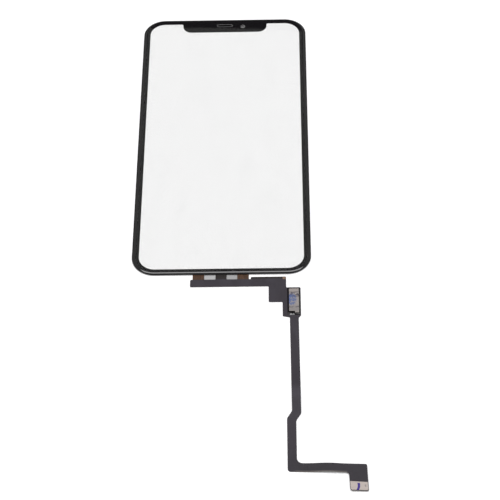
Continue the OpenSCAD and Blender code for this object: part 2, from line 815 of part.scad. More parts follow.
// Stamped steel sheet, whose sides follow the leaning edges of the pad
module pad_stiffener() {
    x = pad_w / 2 - pad_margin;
    y = pad_stiffener_l / 2;
    lean = y * pad_lean / pad_drop;
    fall = x * tan(arm_angle);
    color([0.72, 0.68, 0.65]) translate([pad_x, stiffener_y, pad_z + base_t + cover_t])
        linear_extrude(pad_stiffener_t) polygon(rounded([
            [lean - x, fall - y, 0.65],
            [-lean - x, fall + y, 0.1],
            [x - lean, y - fall - pad_stiffener_skew, 0.1],
            [x + lean, -y - fall, 0.3]
        ], film_arc_steps));
}

cover_glass();
ink_border();
earpiece_mesh();
acoustic_cloth();
earpiece_gasket();
camera_ring();
optical_adhesive();
sensor_film();
flex_base();
flex_cover();
flex_back_cover();
left_tail_traces();
right_tail_traces();
ground_pad();
land_stiffener();
solder_balls();
touch_controller();
memory_chip();
capacitors();
chip_tape();
chip_label();
connector_housing();
connector_contacts();
connector_anchors();
pad_stiffener();
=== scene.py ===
"""Touch screen glass of a phone with its flexible circuit, dressed for a studio picture.

Sizes are in metres, worked out from millimetres, in the same frame as the solids: the back of the
panel is at z = 0, the earpiece end points along +Y and the circuit leaves the -Y end. Colours are
linear RGB, and a pair of TONES holds the darkest and the palest colour of a mottled surface.
"""

import math

import bmesh
import bpy
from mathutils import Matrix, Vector, noise


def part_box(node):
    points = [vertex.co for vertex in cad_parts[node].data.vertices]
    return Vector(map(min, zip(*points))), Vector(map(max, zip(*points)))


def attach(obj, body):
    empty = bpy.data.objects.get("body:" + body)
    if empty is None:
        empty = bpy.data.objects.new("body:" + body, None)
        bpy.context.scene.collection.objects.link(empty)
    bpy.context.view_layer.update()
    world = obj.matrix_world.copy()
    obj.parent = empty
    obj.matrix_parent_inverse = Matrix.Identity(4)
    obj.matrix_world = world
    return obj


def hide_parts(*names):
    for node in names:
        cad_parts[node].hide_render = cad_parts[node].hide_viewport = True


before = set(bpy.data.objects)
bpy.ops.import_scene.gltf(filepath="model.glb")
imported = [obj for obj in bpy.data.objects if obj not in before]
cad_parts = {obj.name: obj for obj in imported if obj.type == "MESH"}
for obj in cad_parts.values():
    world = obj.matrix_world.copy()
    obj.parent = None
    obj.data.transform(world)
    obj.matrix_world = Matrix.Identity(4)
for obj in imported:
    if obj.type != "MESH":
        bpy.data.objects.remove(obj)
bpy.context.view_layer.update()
MM = 0.001

# Studio: a pale floor just under the part, one long soft box overhead and a dim room round it.
# Floor and room look white to the camera and through glass, and the floor keeps its contact shadow.
# Painted shadow greys it in the two tail gaps and under the camera window, as in the picture.

WHITE = (1, 1, 1, 1)
FLOOR_GAP = 0.02 * MM
FLOOR_SIZE = 6.0
FLOOR_COLOUR = (0.85, 0.85, 0.85, 1)
FLOOR_LIFT = 0.25
# The floor runs out into plain white between these distances from its middle
FLOOR_FADE = (0.2, 0.45)
# Left, right, low and high edge of each place of painted shadow on the floor, and its tone
PAINTED_SHADOW_PLACES = [
    (-6.6 * MM, -1.7 * MM, -73.0 * MM, -69.0 * MM, 0.43),
    (1.7 * MM, 6.4 * MM, -73.0 * MM, -69.0 * MM, 0.36),
    (6.0 * MM, 9.0 * MM, 64.5 * MM, 65.9 * MM, 0.22),
    (6.0 * MM, 9.0 * MM, 65.8 * MM, 68.0 * MM, 0.09),
]
PAINTED_SHADOW_SOFT = 0.1 * MM
LAMP_HEIGHT = 1.2
LAMP_SIZE = (1.4, 0.44)
LAMP_POWER = 12.2
# Brightness of the dim room at the sine of an elevation
ROOM = [(0.0, 0.06), (0.6, 0.15), (0.7, 0.16), (0.88, 0.35), (1.0, 0.3)]
ROOM_TINT = (1, 0.92, 1.06)
# Pale parts of the room: a band that starts 42 degrees up, which flat glass mirrors, and the walls
# to the left and right
PALE_COLOUR = (0.57, 0.57, 0.57, 1)
BAND_START = (0.6730, 0.6739)
BAND_LEAN = -0.042
BAND_END = (0.88, 0.8)
WALL_START = (0.12, 0.3)
WALL_FOOT = (0.22, 0.42)
# The camera of the picture, solved from the outline of the glass. Lens and sensor are in
# millimetres, and the turn is in degrees.
CAMERA_LENS = 136.225
CAMERA_SENSOR = 36
CAMERA_NEAR = 0.01
CAMERA_PLACE = (0.0232893, -0.526459, 0.538114)
CAMERA_TURN = (41.0344, 1.24073, 0.10715)


def plug(tree, value, socket):
    """Links value to the socket if it is a socket itself, and sets it otherwise."""
    if isinstance(value, bpy.types.NodeSocket):
        tree.links.new(value, socket)
    else:
        socket.default_value = value


def add(tree, kind, inputs=None, **settings):
    """A shader node of this kind. Each of its inputs is a socket to link or a plain value."""
    new = tree.nodes.new("ShaderNode" + kind)
    for name, value in settings.items():
        setattr(new, name, value)
    for key, value in (inputs or {}).items():
        plug(tree, value, new.inputs[key])
    return new


def calc(tree, operation, a, b=0.0, c=0.0):
    """The result of one Math node."""
    return add(tree, "Math", {0: a, 1: b, 2: c}, operation=operation).outputs[0]


def minus(tree, a, b):
    """The difference of a and b."""
    return calc(tree, "SUBTRACT", a, b)


def times(tree, *factors):
    """The product of the factors."""
    product = factors[0]
    for factor in factors[1:]:
        product = calc(tree, "MULTIPLY", product, factor)
    return product


def square_sum(tree, a, b):
    """The sum of the squares of a and b."""
    return calc(tree, "ADD", times(tree, a, a), times(tree, b, b))


def fade(tree, value, start, end, low=0.0, high=1.0):
    """A smooth change from low to high while value goes from start to end."""
    inputs = {"Value": value, "From Min": start, "From Max": end, "To Min": low, "To Max": high}
    return add(tree, "MapRange", inputs, interpolation_type="SMOOTHSTEP").outputs["Result"]


def between(tree, value, start, end, soft):
    """1 between start and end and 0 elsewhere, with a soft edge of this width inside each."""
    past_start = fade(tree, value, start, start + soft)
    return times(tree, past_start, fade(tree, value, end, end - soft))


def blend(tree, mask, a, b):
    """Colour a where mask is 0 and b where it is 1."""
    return add(tree, "Mix", {0: mask, "A": a, "B": b}, data_type="RGBA").outputs["Result"]


def new_material(name):
    """A material, its node tree and its Principled shader."""
    made = bpy.data.materials.new(name)
    made.use_nodes = True
    return made, made.node_tree, made.node_tree.nodes["Principled BSDF"]


def place(tree):
    """The X, Y and Z sockets of the point's place on the part, in metres."""
    return add(tree, "SeparateXYZ", {0: add(tree, "TexCoord").outputs["Object"]}).outputs


floor_mesh = bmesh.new()
bmesh.ops.create_grid(floor_mesh, x_segments=1, y_segments=1, size=FLOOR_SIZE / 2)
bmesh.ops.translate(floor_mesh, verts=floor_mesh.verts, vec=(0, 0, -FLOOR_GAP))
floor = bpy.data.objects.new("floor", bpy.data.meshes.new("floor"))
floor_mesh.to_mesh(floor.data)
floor_mesh.free()
bpy.context.scene.collection.objects.link(floor)

floor_paint, tree, shader = new_material("pale_floor")
tree.nodes.remove(shader)
x, y = place(tree)[:2]
colour = FLOOR_COLOUR
# The grey places are painted shadow: they darken the floor and take away its lift
painted_shadow = 0.0
for left, right, bottom, top, tone in PAINTED_SHADOW_PLACES:
    in_width = between(tree, x, left, right, PAINTED_SHADOW_SOFT)
    here = times(tree, in_width, between(tree, y, bottom, top, PAINTED_SHADOW_SOFT))
    painted_shadow = calc(tree, "MAXIMUM", painted_shadow, here)
    colour = blend(tree, here, colour, (tone, tone, tone, 1))
path = add(tree, "LightPath").outputs
plain = minus(tree, 1.0, painted_shadow)
lift = times(tree, path["Is Camera Ray"], plain, FLOOR_LIFT)
matt = add(tree, "BsdfDiffuse", {"Color": colour})
haze = add(tree, "Emission", {"Color": WHITE, "Strength": lift})
lifted = add(tree, "AddShader", {0: matt.outputs[0], 1: haze.outputs[0]})
away = calc(tree, "SQRT", square_sum(tree, x, y))
far = times(tree, fade(tree, away, *FLOOR_FADE), path["Is Camera Ray"])
in_glass = calc(tree, "MAXIMUM", path["Is Transmission Ray"], path["Is Glossy Ray"])
seen = times(tree, calc(tree, "MAXIMUM", in_glass, far), plain)
glow = add(tree, "Emission", {"Color": WHITE, "Strength": 1.0})
mix = add(tree, "MixShader", {0: seen, 1: lifted.outputs[0], 2: glow.outputs[0]})
plug(tree, mix.outputs[0], tree.nodes["Material Output"].inputs["Surface"])
floor.data.materials.append(floor_paint)

world = bpy.data.worlds.new("dim_room")
bpy.context.scene.world = world
world.use_nodes = True
tree = world.node_tree
way = add(tree, "TexCoord").outputs["Generated"]
side, _, up = add(tree, "SeparateXYZ", {0: way}).outputs
ramp = add(tree, "ValToRGB", {0: up})
while len(ramp.color_ramp.elements) < len(ROOM):
    ramp.color_ramp.elements.new(0.5)
for element, (height, level) in zip(ramp.color_ramp.elements, ROOM):
    element.position = height
    element.color = (*[level * share for share in ROOM_TINT], 1)
band = fade(tree, calc(tree, "MULTIPLY_ADD", side, BAND_LEAN, up), *BAND_START)
aside = calc(tree, "ABSOLUTE", side)
walls = times(tree, fade(tree, aside, *WALL_START), fade(tree, up, *WALL_FOOT))
pale = times(tree, calc(tree, "MAXIMUM", band, walls), fade(tree, up, *BAND_END))
room = blend(tree, pale, ramp.outputs[0], PALE_COLOUR)
path = add(tree, "LightPath").outputs
seen = calc(tree, "MAXIMUM", path["Is Camera Ray"], path["Is Transmission Ray"])
plug(tree, blend(tree, seen, room, WHITE), tree.nodes["Background"].inputs["Color"])

lamp = bpy.data.lights.new("soft_box", "AREA")
lamp.shape = "RECTANGLE"
lamp.size, lamp.size_y = LAMP_SIZE
lamp.energy = LAMP_POWER
lamp_object = bpy.data.objects.new("soft_box", lamp)
lamp_object.location = (0, 0, LAMP_HEIGHT)
bpy.context.scene.collection.objects.link(lamp_object)

camera = bpy.data.cameras.new("camera")
camera.lens = CAMERA_LENS
camera.sensor_width = CAMERA_SENSOR
camera.clip_start = CAMERA_NEAR
camera_object = bpy.data.objects.new("camera", camera)
camera_object.location = CAMERA_PLACE
camera_object.rotation_euler = [math.radians(angle) for angle in CAMERA_TURN]
bpy.context.scene.collection.objects.link(camera_object)
bpy.context.scene.camera = camera_object
bpy.context.scene.view_settings.view_transform = "Standard"


# Cover glass: one sheet of toughened glass, ground and polished to a curved rim, with a ground
# slot for the earpiece. Faint wipe marks lie on its face.

SLOT_CHAMFER = 0.25 * MM
SLOT_HALF = 3.25 * MM
SLOT_RADIUS = 0.65 * MM
SLOT_FROM_TOP = 4.1 * MM
# Points within this many times the half sizes of the slot and its chamfer count as the slot's
SLOT_MARGIN = 1.05
# The slot looks smaller in the picture than in the solid: this share of its width, and this much
# less at each end
SLOT_NARROWED = 0.68
SLOT_SHORTENED = 0.25 * MM
MERGE = 0.001 * MM
SMOOTH_ANGLE = math.radians(30)
# Upward parts of the normals of flat faces, and of the lowest faces that count as rim
FLAT = 0.9999
RIM_FOOT = -0.1
GLASS_IOR = 1.51
GLASS_TINT = (0.905, 0.905, 0.905, 1)
GLASS_WIPES = {"Scale": 45.0, "Amount": 0.015}
RIM_TONES = ((0.003, 0.003, 0.003, 1), (0.006, 0.006, 0.006, 1))
RIM_ROUGHNESS = 0.02


def noise_at(tree, scale, detail=3.0, stretch=(1, 1, 1), roughness=0.5):
    """A noise of about 0 to 1 whose cells are 1/scale metres wide, stretched along each axis."""
    object_place = add(tree, "TexCoord").outputs["Object"]
    shrink = [1 / share for share in stretch]
    spot = add(tree, "Mapping", {"Vector": object_place, "Scale": shrink}).outputs[0]
    inputs = {"Vector": spot, "Scale": scale, "Detail": detail, "Roughness": roughness}
    return add(tree, "TexNoise", inputs).outputs["Fac"]


def spread(tree, cloud, low, high, reach=0.2):
    """From low to high over the middle of a noise, as far as this reach below and above it."""
    return fade(tree, cloud, 0.5 - reach, 0.5 + reach, low, high)


def fill(tree, shader, inputs):
    """Gives each of these inputs of the shader a socket to link or a plain value."""
    for name, value in inputs.items():
        plug(tree, value, shader.inputs[name])


def new_group(name, inputs, outputs):
    """An empty node group with float inputs (name and default) and the named outputs."""
    group = bpy.data.node_groups.new(name, "ShaderNodeTree")
    sockets = group.interface
    for label, default in inputs:
        given = sockets.new_socket(label, in_out="INPUT", socket_type="NodeSocketFloat")
        given.default_value = default
    for label, kind in outputs:
        sockets.new_socket(label, in_out="OUTPUT", socket_type="NodeSocket" + kind)
    return group, group.nodes.new("NodeGroupInput"), group.nodes.new("NodeGroupOutput")


def use(tree, group, **values):
    """The outputs of a node group placed in the tree with these values."""
    new = tree.nodes.new("ShaderNodeGroup")
    new.node_tree = group
    for name, value in values.items():
        plug(tree, value, new.inputs[name])
    return new.outputs


# Wipe marks and finger marks, shared by the glass, the adhesive, the circuit and the tape
WIPE_TURN = (0, 0, 0.5)
WIPE_SHRINK = (1, 0.35, 1)
WIPE_DETAIL = 5.0
WIPE_SWIRL = 0.6
WIPE_EDGE = (0.45, 0.75)
wipe_marks, given, made = new_group(
    "wipe_marks", [("Scale", 60.0), ("Amount", 1.0)], [("Mask", "Float")]
)
spot = add(wipe_marks, "TexCoord").outputs["Object"]
turned = {"Vector": spot, "Rotation": WIPE_TURN, "Scale": WIPE_SHRINK}
swirled = {
    "Vector": add(wipe_marks, "Mapping", turned).outputs[0],
    "Scale": given.outputs["Scale"],
    "Detail": WIPE_DETAIL,
    "Distortion": WIPE_SWIRL,
}
patch = fade(wipe_marks, add(wipe_marks, "TexNoise", swirled).outputs["Fac"], *WIPE_EDGE)
plug(wipe_marks, times(wipe_marks, patch, given.outputs["Amount"]), made.inputs["Mask"])


def merged_copy(node_name, piece_name):
    """A bmesh of a node's mesh with its loose triangles joined, and an object for the new piece."""
    shape = bmesh.new()
    shape.from_mesh(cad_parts[node_name].data)
    bmesh.ops.remove_doubles(shape, verts=shape.verts, dist=MERGE)
    piece = bpy.data.objects.new(piece_name, bpy.data.meshes.new(piece_name))
    bpy.context.scene.collection.objects.link(piece)
    return shape, piece


def finish_copy(shape, piece, node_name, slot_name, *materials):
    """Writes the shape to the piece without its old normals. The piece stands for the node."""
    shape.to_mesh(piece.data)
    shape.free()
    old_normals = piece.data.attributes.get("custom_normal")
    if old_normals:
        piece.data.attributes.remove(old_normals)
    for material in materials:
        piece.data.materials.append(material)
    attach(piece, "root")
    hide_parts(node_name)


def smooth_round(shape):
    """Smooth shading, with true edges and the borders of flat faces kept sharp."""
    shape.normal_update()
    for face in shape.faces:
        face.smooth = True
    for edge in shape.edges:
        flats = [abs(face.normal.z) > FLAT for face in edge.link_faces]
        bent = len(flats) == 2 and edge.calc_face_angle() > SMOOTH_ANGLE
        edge.smooth = not bent and len(set(flats)) == 1


top_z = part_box("cover_glass")[1].z
slot_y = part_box("cover_glass")[1].y - SLOT_FROM_TOP
slot_reach = Vector((SLOT_HALF + SLOT_CHAMFER, SLOT_RADIUS + SLOT_CHAMFER)) * SLOT_MARGIN

glass, tree, shader = new_material("polished_glass")
fill(tree, shader, {
    "Base Color": GLASS_TINT,
    "Roughness": use(tree, wipe_marks, **GLASS_WIPES)["Mask"],
    "IOR": GLASS_IOR,
    "Transmission Weight": 1.0,
})

# The curved rim and the slot's walls lie over black print, so their faces are glass that is black
# in its depth
rim, tree, shader = new_material("rim_over_print")
wiped = use(tree, wipe_marks, **GLASS_WIPES)["Mask"]
fill(tree, shader, {
    "Base Color": blend(tree, noise_at(tree, 9000), *RIM_TONES),
    "Roughness": calc(tree, "ADD", wiped, RIM_ROUGHNESS),
    "IOR": GLASS_IOR,
})


def by_slot(point):
    """Whether the point of the glass is on the slot or its chamfer."""
    return abs(point.x) < slot_reach.x and abs(point.y - slot_y) < slot_reach.y


def narrow_slot(shape):
    """Brings the slot's long sides closer together, and its ends too."""
    for v in shape.verts:
        if by_slot(v.co):
            v.co.x -= math.copysign(SLOT_SHORTENED, v.co.x)
            v.co.y = slot_y + (v.co.y - slot_y) * SLOT_NARROWED


shape, cover = merged_copy("cover_glass", "polished_cover_glass")
narrow_slot(shape)
smooth_round(shape)
for face in shape.faces:
    face.material_index = 1 if RIM_FOOT < face.normal.z < FLAT else 0
finish_copy(shape, cover, "cover_glass", "glass", glass, rim)

# The matt skin that grinding leaves on the slot's chamfer and on a narrow rim round it, taken from
# the chamfer's own faces
GROUND_SKIN = 0.004 * MM
GROUND_RIM = 0.1 * MM
GROUND_COLOUR = (0.8, 0.8, 0.8, 1)
GROUND_ROUGHNESS = 0.8
GRIT = (0.7, 1.3)
CHAMFER_HAZE = 0.02
RIM_HAZE = 0.25
# Upward parts of the normals of the chamfer's steepest and flattest faces
CHAMFER_SLOPES = (0.2, 0.98)


def on_chamfer(face):
    """Whether the face is a part of the slot's chamfer."""
    sloping = CHAMFER_SLOPES[0] < face.normal.z < CHAMFER_SLOPES[1]
    return sloping and by_slot(face.calc_center_median())


ground_skin, tree, shader = new_material("ground_glass_skin")
grit = spread(tree, noise_at(tree, 8000), *GRIT)
chamfer_top = (top_z - 0.02 * MM, top_z - 0.01 * MM)
haze = fade(tree, place(tree)[2], *chamfer_top, CHAMFER_HAZE, RIM_HAZE)
fill(tree, shader, {
    "Base Color": GROUND_COLOUR,
    "Roughness": GROUND_ROUGHNESS,
    "Alpha": times(tree, grit, haze),
})
shape, skin = merged_copy("cover_glass", "ground_slot_edge")
narrow_slot(shape)
shape.normal_update()
others = [face for face in shape.faces if not on_chamfer(face)]
bmesh.ops.delete(shape, geom=others, context="FACES")
borders = [edge for edge in shape.edges if edge.is_boundary]
mouth = [edge for edge in borders if min(v.co.z for v in edge.verts) > chamfer_top[1]]
flange = bmesh.ops.extrude_edge_only(shape, edges=mouth)["geom"]
spine_end = SLOT_HALF - SLOT_RADIUS
for v in [part for part in flange if isinstance(part, bmesh.types.BMVert)]:
    spine = Vector((max(min(v.co.x, spine_end), -spine_end), slot_y, v.co.z))
    v.co += (v.co - spine).normalized() * GROUND_RIM
bmesh.ops.recalc_face_normals(shape, faces=shape.faces[:])
if sum(face.normal.z for face in shape.faces) < 0:
    bmesh.ops.reverse_faces(shape, faces=shape.faces[:])
bmesh.ops.solidify(shape, geom=shape.faces[:], thickness=-GROUND_SKIN)
bmesh.ops.recalc_face_normals(shape, faces=shape.faces[:])
shape.to_mesh(skin.data)
shape.free()
skin.data.materials.append(ground_skin)
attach(skin, "root")


# Printed border: two coats of black ceramic ink, screen printed on the back of the glass and fired.
# It is open at the display window, the earpiece slot and the camera.

INK_TONES = ((0.001, 0.001, 0.001, 1), (0.002, 0.002, 0.002, 1))
INK_ROUGHNESS = (0.5, 0.65)


def dress(material, *names):
    """Gives these nodes the material."""
    for name in names:
        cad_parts[name].material_slots[0].material = material


ink, tree, shader = new_material("black_print")
speckle = noise_at(tree, 9000)
fill(tree, shader, {
    "Base Color": blend(tree, speckle, *INK_TONES),
    "Roughness": spread(tree, speckle, *INK_ROUGHNESS, reach=0.3),
    "Specular IOR Level": 0.0,
})
dress(ink, "ink_border")


# Earpiece dust screen: fine blackened steel mesh over acoustic cloth and a die-cut foam gasket,
# stuck one over the other behind the slot.

MESH_TONES = ((0.003, 0.003, 0.0035, 1), (0.010, 0.010, 0.011, 1))
THREAD = 0.06 * MM
THREAD_DEPTH = 0.01 * MM
CLOTH_TONES = ((0.008, 0.008, 0.009, 1), (0.03, 0.03, 0.032, 1))
FOAM_TONES = ((0.018, 0.018, 0.02, 1), (0.05, 0.05, 0.053, 1))
GRAIN_DETAIL = 4.0
ROUGHNESS_SPREAD = 0.06


def bumps(tree, height, depth, under=None):
    """The normals of bumps this deep, laid over the normals under them."""
    inputs = {"Height": height, "Distance": depth}
    if under:
        inputs["Normal"] = under
    return add(tree, "Bump", inputs).outputs["Normal"]


def grain_group(name, scale, depth, shrink=(1, 1, 1)):
    """A group of random grain, with its usual scale and its depth in millimetres."""
    group, given, made = new_group(
        name, [("Scale", scale), ("Depth", depth)], [("Tone", "Float"), ("Normal", "Vector")]
    )
    spot = {"Vector": add(group, "TexCoord").outputs["Object"], "Scale": shrink}
    cells = {
        "Vector": add(group, "Mapping", spot).outputs[0],
        "Scale": given.outputs["Scale"],
        "Detail": GRAIN_DETAIL,
    }
    tone = add(group, "TexNoise", cells).outputs["Fac"]
    plug(group, tone, made.inputs["Tone"])
    relief = bumps(group, tone, times(group, given.outputs["Depth"], MM))
    plug(group, relief, made.inputs["Normal"])
    return group


# Fine grain of blasted, moulded or foamed surfaces, shared by every such material
fine_grain = grain_group("fine_grain", 4000.0, 0.01)


def grained(name, tones, roughness, scale=4000.0, depth=0.01, metallic=0.0, specular=0.5):
    """A material with fine grain between its two tones."""
    made, tree, shader = new_material(name)
    grain = use(tree, fine_grain, Scale=scale, Depth=depth)
    rough = (roughness - ROUGHNESS_SPREAD, roughness + ROUGHNESS_SPREAD)
    fill(tree, shader, {
        "Base Color": blend(tree, grain["Tone"], *tones),
        "Normal": grain["Normal"],
        "Roughness": spread(tree, grain["Tone"], *rough, reach=0.3),
        "Metallic": metallic,
        "Specular IOR Level": specular,
    })
    return made


def wave(tree, value, pitch):
    """A sine between -1 and 1 that repeats at this pitch."""
    return calc(tree, "SINE", times(tree, value, 2 * math.pi / pitch))


dress(grained("blackened_mesh", MESH_TONES, 0.6, specular=0.15), "earpiece_mesh")

cloth, tree, shader = new_material("acoustic_cloth")
x, y = place(tree)[:2]
weave = times(tree, wave(tree, x, THREAD), wave(tree, y, THREAD))
over_under = calc(tree, "MULTIPLY_ADD", weave, 0.5, 0.5)
fill(tree, shader, {
    "Base Color": blend(tree, over_under, *CLOTH_TONES),
    "Normal": bumps(tree, over_under, THREAD_DEPTH),
    "Roughness": 0.85,
})
dress(cloth, "acoustic_cloth")

dress(grained("gasket_foam", FOAM_TONES, 0.9, scale=9000, depth=0.03), "earpiece_gasket")


# Camera ring: a small ring moulded in black plastic and stuck behind the camera window. It keeps
# dust off the lens, and stands only a fifth of a millimetre deep.

RING_TONES = ((0.012, 0.012, 0.013, 1), (0.022, 0.022, 0.024, 1))

dress(grained("ring_plastic", RING_TONES, 0.5), "camera_ring")


# Sensor film and its adhesive: a clear film with fired silver leads along its edge, bonded to the
# glass with optically clear adhesive. Both are all but invisible in the window.

CLEAR = 0.014
CLEAR_TINT = (0.93, 0.95, 0.94, 1)
SILVER = (0.72, 0.71, 0.69, 1)
SILVER_METALLIC = 0.9
FILM_ROUGHNESS = (0.12, 0.4)
LEAD_PITCH = 0.15 * MM
LEAD_SOFT = 0.01 * MM
STRIPE_EDGE = (-0.1, 0.3)
LEADS_FROM_EDGE = (1.05 * MM, 2.25 * MM)
# The leads end between these Y
LEADS_END = (58 * MM, 57.5 * MM)
# Radius of the rounded corners of the glass
GLASS_CORNER = 8.8 * MM

adhesive, tree, shader = new_material("clear_adhesive")
smears = use(tree, wipe_marks, Scale=150.0, Amount=CLEAR)["Mask"]
fill(tree, shader, {
    "Base Color": CLEAR_TINT,
    "Roughness": 0.15,
    "Alpha": calc(tree, "ADD", smears, CLEAR),
})
dress(adhesive, "optical_adhesive")

# The leads follow the rounded outline of the glass, down both sides and along the lower end
film, tree, shader = new_material("sensor_film")
x, y = place(tree)[:2]
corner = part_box("cover_glass")[1]
beside = minus(tree, calc(tree, "ABSOLUTE", x), corner.x - GLASS_CORNER)
above = minus(tree, calc(tree, "ABSOLUTE", y), corner.y - GLASS_CORNER)
round_x = calc(tree, "MAXIMUM", beside, 0.0)
round_y = calc(tree, "MAXIMUM", above, 0.0)
outer = calc(tree, "SQRT", square_sum(tree, round_x, round_y))
inner = calc(tree, "MINIMUM", calc(tree, "MAXIMUM", beside, above), 0.0)
from_edge = minus(tree, GLASS_CORNER, calc(tree, "ADD", outer, inner))
stripes = fade(tree, wave(tree, from_edge, LEAD_PITCH), *STRIPE_EDGE)
band = between(tree, from_edge, *LEADS_FROM_EDGE, LEAD_SOFT)
leads = times(tree, stripes, band, fade(tree, y, *LEADS_END))
fill(tree, shader, {
    "Base Color": blend(tree, leads, CLEAR_TINT, SILVER),
    "Metallic": times(tree, leads, SILVER_METALLIC),
    "Roughness": fade(tree, leads, 0, 1, *FILM_ROUGHNESS),
    "Alpha": fade(tree, leads, 0, 1, CLEAR, 1.0),
    "Normal": use(tree, fine_grain, Scale=12000.0, Depth=0.004)["Normal"],
})
dress(film, "sensor_film")


# Base film of the circuit: amber polyimide that carries the copper. It shows at cut edges and on
# the two outer tails, whose copper runs under a thin amber varnish. The bare corner of the
# shoulder is plated, to earth the panel.

AMBER_TONES = ((0.030, 0.015, 0.008, 1), (0.09, 0.038, 0.014, 1))
AMBER_ROUGHNESS = (0.28, 0.42)
COPPER_TONES = ((0.026, 0.014, 0.008, 1), (0.11, 0.046, 0.018, 1))
COPPER_RUBBED = (0.22, 0.10, 0.045, 1)
COPPER_ROUGHNESS = (0.3, 0.5)
PLATING_TONES = ((0.27, 0.17, 0.12, 1), (0.40, 0.27, 0.19, 1))

amber, tree, shader = new_material("amber_polyimide")
streaks = noise_at(tree, 2500, stretch=(1, 12, 1))
fill(tree, shader, {
    "Base Color": blend(tree, streaks, *AMBER_TONES),
    "Roughness": spread(tree, streaks, *AMBER_ROUGHNESS),
})
dress(amber, "flex_base")

copper, tree, shader = new_material("varnished_copper")
streaks = noise_at(tree, 1800, stretch=(1, 9, 1))
rubbing_and_sheen = use(tree, wipe_marks, Scale=700.0, Amount=1.0)["Mask"]
fill(tree, shader, {
    "Base Color": blend(tree, rubbing_and_sheen, blend(tree, streaks, *COPPER_TONES), COPPER_RUBBED),
    "Roughness": spread(tree, streaks, *COPPER_ROUGHNESS),
    "Metallic": 0.35,
    "Coat Weight": 0.4,
    "Coat Roughness": 0.25,
})
dress(copper, "left_tail_traces", "right_tail_traces")

dress(grained("plated_pad", PLATING_TONES, 0.35, scale=7000, metallic=0.8), "ground_pad")


# Cover films of the circuit: satin black film pressed over the copper, whose conductors stand out
# as faint lines that run along the bar, down the strip and along the arm.

LINE_PITCH = 0.27 * MM
LINE_DEPTH = 0.006 * MM
LINE_EDGE = (-0.4, 0.4)
LINE_TONES = ((0.027, 0.023, 0.030, 1), (0.032, 0.027, 0.035, 1))
WORN_COLOUR = (0.038, 0.033, 0.043, 1)
SATIN_ROUGHNESS = (0.46, 0.6)
# Places on the circuit that the lines follow
BLOCK_LEFT = 17.7 * MM
BAR_BOTTOM = -76.1 * MM
LAND_BOTTOM = -90.7 * MM
JOG_TOP = -133.9 * MM
JOG_BOTTOM = -136.9 * MM
JOG_SHIFT = 1.8 * MM
LOWER_STRIP_LEFT = 23.85 * MM
LOWER_STRIP_RIGHT = 27.1 * MM
ARM_TOP = -155.2 * MM
ARM_H = 3.65 * MM
ARM_SLOPE = math.tan(math.radians(2.4))
# The arm's lower edge shows bare base film this far in. The X where that starts and where it ends
# are each a pair, from not bare to fully bare.
BARE_COLOUR = (0.093, 0.084, 0.076, 1)
BARE_EDGE = 0.5 * MM
BARE_SOFT = 0.05 * MM
BARE_START = (25.5 * MM, 27.5 * MM)
BARE_END = (44.6 * MM, 43.6 * MM)
# The covered film darkens by this share from the first to the second of these Y
ARM_SHADE = (-145 * MM, -157 * MM)
SHADE = 0.3
# A painted sheen makes the strip paler round this Y, from none at the first of these distances
# from it to full at the second
PAINTED_SHEEN_Y = -125.5 * MM
PAINTED_SHEEN_REACH = (4.5 * MM, 0.5 * MM)
PAINTED_SHEEN_SHARE = 0.7
PAINTED_SHEEN_COLOUR = (0.050, 0.045, 0.056, 1)
# Painted shadow darkens the tails between these two Y, up to where they are bonded under the panel
TAIL_START = (-72.6 * MM, -72.2 * MM)
TAIL_SHADOW_COLOUR = (0.014, 0.010, 0.009, 1)

cover_film, tree, shader = new_material("satin_cover_film")
x, y = place(tree)[:2]

# Distance across the conductors: along the bar and its block, then down the strip and the arm
moved = fade(tree, y, JOG_BOTTOM, JOG_TOP, 0.0, JOG_SHIFT)
strip_line = minus(tree, LOWER_STRIP_RIGHT, minus(tree, x, moved))
along = minus(tree, x, LOWER_STRIP_LEFT)
arm_line = minus(tree, ARM_TOP, calc(tree, "MULTIPLY_ADD", along, ARM_SLOPE, y))
lower_line = calc(tree, "MAXIMUM", strip_line, arm_line)
upper_line = calc(tree, "MAXIMUM", minus(tree, x, BLOCK_LEFT), minus(tree, y, BAR_BOTTOM))
upper = calc(tree, "GREATER_THAN", y, LAND_BOTTOM)
lower_part = times(tree, lower_line, minus(tree, 1.0, upper))
line = calc(tree, "ADD", times(tree, upper_line, upper), lower_part)
ridge = fade(tree, wave(tree, line, LINE_PITCH), *LINE_EDGE)
grain = use(tree, fine_grain, Scale=5000.0, Depth=0.004)["Normal"]

wear = use(tree, wipe_marks, Scale=180.0, Amount=1.0)["Mask"]
wear_and_painted_light = blend(tree, wear, blend(tree, ridge, *LINE_TONES), WORN_COLOUR)
# Painted sheen: the strip is paler in a band across it
from_sheen = calc(tree, "ABSOLUTE", minus(tree, y, PAINTED_SHEEN_Y))
rubbing_and_sheen = fade(tree, from_sheen, *PAINTED_SHEEN_REACH, 0.0, PAINTED_SHEEN_SHARE)
wear_and_painted_light = blend(tree, rubbing_and_sheen, wear_and_painted_light, PAINTED_SHEEN_COLOUR)
along_arm = times(tree, fade(tree, x, *BARE_START), fade(tree, x, *BARE_END))
bare_line = ARM_H - BARE_EDGE
near_edge = fade(tree, arm_line, bare_line - BARE_SOFT, bare_line + BARE_SOFT)
bare = times(tree, along_arm, near_edge)
wear_and_painted_light = blend(tree, bare, wear_and_painted_light, BARE_COLOUR)
shaded = times(tree, fade(tree, y, *ARM_SHADE), minus(tree, SHADE, bare))
wear_and_painted_light = blend(tree, shaded, wear_and_painted_light, (0, 0, 0, 1))
fill(tree, shader, {
    # Painted shadow on the tails next to the panel
    "Base Color": blend(tree, fade(tree, y, *TAIL_START), wear_and_painted_light, TAIL_SHADOW_COLOUR),
    "Normal": bumps(tree, ridge, LINE_DEPTH, under=grain),
    "Roughness": fade(tree, wear, 0, 1, *SATIN_ROUGHNESS),
    "Specular IOR Level": 0.35,
})
